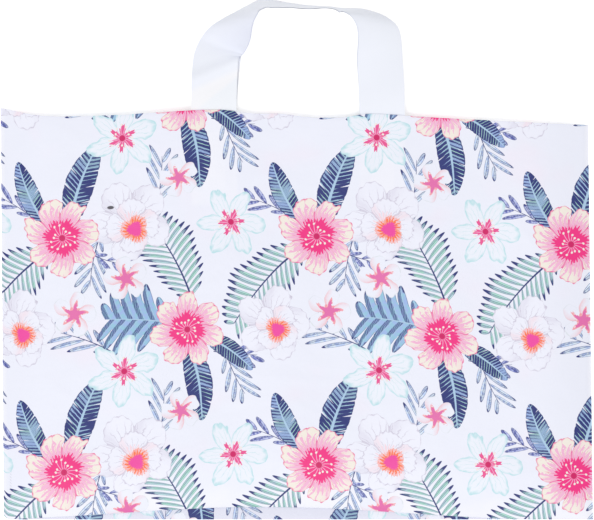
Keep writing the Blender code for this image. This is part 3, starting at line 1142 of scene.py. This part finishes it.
def film_material(name, show_through):
    """The film with its print: fully seen at 1, and paler below that, as from inside."""
    material, tree, shader = surface(name)
    across, along = flat_place(tree)
    place = {"Across": across, "Along": along}
    tone = use_group(tree, film_tone, place)["Colour"]
    design = use_group(tree, flower_print, {**place, "Ground": tone})["Colour"]
    dark = speck(tree, across, along) * show_through
    skin = layered(tree, tone, (show_through, design), (dark, SOOT))
    fine = uneven(tree, across, along, 90.0, 0.0, 3.0)
    finish(tree, shader, skin, fine, FILM_CRINKLE, fine * 0.25 + 0.42)
    return material


film.data.materials.append(film_material("printed film", 1.0))
film.data.materials.append(film_material("film inner face", 0.25))
thicken(film, FILM_THICKNESS, 1)
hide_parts("bag_body")
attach(film, "root")
print("printed film", len(film.data.polygons), "faces")

# %% [markdown]
# ## Handle ribbons
#
# Each handle is a strip of thicker, softer film. Its two ends are welded inside the hem, it runs
# up flat behind the panel, and over the table its loop turns onto its edge, because a flat strip
# can only bend sideways by standing up. The rear handle nests under the front one.
#
# Each station gives where the ribbon's outer edge is and how the ribbon is turned there, and a
# smooth curve runs through them. On the left leg the front ribbon buckles into a soft ridge
# where it starts to turn, and a little of the rear one has slipped out beside it.

# %% The ribbon's course
RIBBON_THICKNESS = 0.0002
RIBBON_CLEARANCE = 0.0003
LOOP_RISE = 0.0985
NEST_GAP = 0.0006
TABLE_CLEARANCE = 0.0005
DROOP_START = 0.008
DROOP_REACH = 0.060
# share of the way across the legs, metres below the top, turn and stand in degrees
LOOP_STATIONS = (
    (0.0000, LOOP_RISE, 0.0, 0.0), (0.0020, 0.0713, 0.0, 0.0), (0.0090, 0.0508, 0.0, 1.0),
    (0.0232, 0.0406, -10.0, 1.0), (0.0460, 0.0320, -18.5, 2.0), (0.0747, 0.0252, -16.0, 16.0),
    (0.1075, 0.0200, -10.0, 34.0), (0.1541, 0.0149, -8.0, 49.0), (0.2055, 0.0098, -11.0, 61.0),
    (0.2570, 0.0047, -21.0, 71.0), (0.3133, -0.0004, -48.0, 75.0), (0.3600, -0.0009, -66.0, 77.0),
    (0.4535, 0.0017, -90.0, 82.0), (0.5500, 0.0040, -92.0, 84.0), (0.6400, 0.0049, -100.0, 86.0),
    (0.7100, 0.0062, -140.0, 81.0), (0.8000, 0.0070, -170.0, 61.0), (0.8840, 0.0113, -176.0, 48.0),
    (0.9400, 0.0172, -177.0, 36.0), (0.9720, 0.0243, -177.0, 26.0), (0.9850, 0.0350, -178.0, 18.0),
    (0.9900, 0.0508, -179.0, 8.0), (0.9964, 0.0713, -180.0, 1.0), (1.0000, LOOP_RISE, -180.0, 0.0),
)
LAST_STATION = len(LOOP_STATIONS) - 1
BUCKLE_HEIGHT = 0.0028
BUCKLE_PLACE = 0.031
BUCKLE_SLANT = 0.0155
BUCKLE_REACH = 0.006
SLIP = 0.0014
SLIP_RISE = 0.045
SLIP_END = 0.047
SLIP_FALL = 0.012


def loop_frame(at):
    """The ribbon's outer edge, its direction across and how far past the mouth it is."""
    knots = list(range(len(LOOP_STATIONS)))
    share, drop, turn, stand = (
        through_points(knots, [station[i] for station in LOOP_STATIONS], at) for i in range(4)
    )
    x = HANDLE_CENTRE + (LEG_SPACING + RIBBON_WIDTH) * (share - 0.5)
    y = FILM_DEPTH + LOOP_RISE - drop
    turn = math.radians(turn)
    stand = math.radians(stand)
    flat = math.cos(stand)
    across = Vector((flat * math.cos(turn), flat * math.sin(turn), math.sin(stand)))
    return Vector((x, y, 0.0)), across, y - FILM_DEPTH


def leg_heights(x, y):
    """Heights of the front and the rear handle's legs inside the mouth."""
    gap = HALF_FILM + RIBBON_CLEARANCE + RIBBON_THICKNESS / 2.0
    pitch = layer_pitch(x)
    return front_height(x, y) - pitch - gap, HALF_FILM + pitch + gap


def buckle(past, share):
    """The soft ridge where the left leg starts to turn onto its edge."""
    off = (past - BUCKLE_PLACE - BUCKLE_SLANT * share) / BUCKLE_REACH
    return BUCKLE_HEIGHT * math.exp(-off * off)


def slip(past):
    """How far the rear ribbon has slipped out from under the left leg."""
    return SLIP * ease(past / SLIP_RISE) * (1.0 - ease((past - SLIP_END) / SLIP_FALL))


def loop_row(at, steps, nested):
    """Points across the ribbon at one place along the loop outside the bag."""
    edge, across, past = loop_frame(at)
    before = loop_frame(max(at - 0.01, 0.0))
    after = loop_frame(min(at + 0.01, LAST_STATION))
    middle = RIBBON_WIDTH / 2.0
    along = (after[0] + after[1] * middle) - (before[0] + before[1] * middle)
    normal = across.cross(along).normalized()
    droop = ease((past - DROOP_START) / DROOP_REACH)
    low = NEST_GAP + TABLE_CLEARANCE
    on_left = float(at <= LAST_STATION / 2.0)
    points = []
    for i in range(steps + 1):
        share = i / steps
        point = edge + across * (RIBBON_WIDTH * share)
        front, rear = leg_heights(point.x, point.y)
        point.z += front + (low - front) * droop
        if nested:
            depth = front - rear
            point -= normal * (depth + (NEST_GAP - depth) * droop)
            point += across * (NEST_GAP * droop)
            point.x += slip(past) * on_left
        soft = noise.noise(Vector((share * 1.5, at * 0.9, 3.0))) * 0.0004
        point += normal * (buckle(past, share) * on_left + soft * droop)
        points.append(point)
    return points


def leg_row(at_end, share, steps, nested):
    """Points across a leg inside the bag, on the way from its welded end to the mouth."""
    points = []
    for point in loop_row(at_end, steps, nested):
        y = FILM_DEPTH - LEG_INSIDE * (1.0 - share)
        front, rear = leg_heights(point.x, y)
        points.append(Vector((point.x, y, rear if nested else front)))
    return points


# %% Bend a ribbon
RIBBON_STEPS_ACROSS = 16
RIBBON_STEPS_INSIDE = 24
RIBBON_STEPS_PER_STATION = 9


def make_ribbon(name, nested):
    """One ribbon as rows of points, from welded end to welded end."""
    steps = RIBBON_STEPS_ACROSS
    inside = [i / RIBBON_STEPS_INSIDE for i in range(RIBBON_STEPS_INSIDE)]
    rows = [leg_row(0.0, share, steps, nested) for share in inside]
    for i in range(LAST_STATION * RIBBON_STEPS_PER_STATION + 1):
        rows.append(loop_row(i / RIBBON_STEPS_PER_STATION, steps, nested))
    rows += [leg_row(LAST_STATION, share, steps, nested) for share in reversed(inside)]
    lengths = flat_lengths([row[steps // 2] for row in rows])
    ribbon = add_grid(name, steps, len(rows) - 1)
    shift = Vector((MIDDLE_X, BOTTOM_Y, 0.0))
    fold_sheet(
        ribbon, steps, len(rows) - 1,
        lambda column, row: rows[row][column] + shift,
        lambda column, row: (RIBBON_WIDTH * column / steps, lengths[row]),
    )
    return ribbon, lengths[-1]


# %% [markdown]
# ## The ribbons' finish
#
# The ribbons are bare milky film, so only their tone tells how they lie. Past the mouth the left
# legs first press on each other and then just touch; there a painted highlight makes them whiter,
# up to a slanting line across the ribbon. Higher up the left leg, painted shade makes the ribbon a
# little greyer, most towards its inner edge.

# %% Ribbon material
MOUTH_HIGHLIGHT_END = 0.0008
MOUTH_HIGHLIGHT_SLANT = 0.84
HIGHLIGHT_END = 0.0215
HIGHLIGHT_SLANT = 0.46
SHADE_START = (0.048, 0.068)
SHADE_END = 0.100
RIBBON_CRINKLE = 0.0002


def ribbon_finish():
    """Milky film, with a painted highlight and painted shade by how far past the mouth it is."""
    material, tree, shader = surface("milky ribbon")
    across, along = flat_place(tree)
    past_mouth = along - LEG_INSIDE
    # painted highlight: the left leg is whiter just past the mouth, in two zones up to slanting
    # lines
    close_highlight = past_mouth.below(across * HIGHLIGHT_SLANT + HIGHLIGHT_END, 0.004)
    pressed = past_mouth.below(across * MOUTH_HIGHLIGHT_SLANT + MOUTH_HIGHLIGHT_END, 0.003)
    # painted shade: greyer higher up the left leg, most towards the ribbon's inner edge
    upper_shade = past_mouth.step(*SHADE_START) * past_mouth.below(SHADE_END, 0.020)
    skin = layered(
        tree, ink(243, 246, 255),
        (close_highlight, ink(251, 251, 255)),
        (pressed, ink(246, 249, 255)),
        (upper_shade * (across * 18.0 + 0.3), ink(233, 236, 249)),
    )
    fine = uneven(tree, across, along, 60.0, 0.0, 3.0)
    finish(tree, shader, skin, fine, RIBBON_CRINKLE, fine * 0.2 + 0.45)
    return material


ribbon_material = ribbon_finish()

# %% Lay the handles
for name, node, nested in (
    ("front_ribbon", "front_handle", False),
    ("rear_ribbon", "rear_handle", True),
):
    ribbon, ribbon_length = make_ribbon(name, nested)
    ribbon.data.materials.append(ribbon_material)
    thicken(ribbon, RIBBON_THICKNESS)
    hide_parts(node)
    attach(ribbon, "root")
    print(name, "is", round(ribbon_length, 3), "m long,", len(ribbon.data.polygons), "faces")
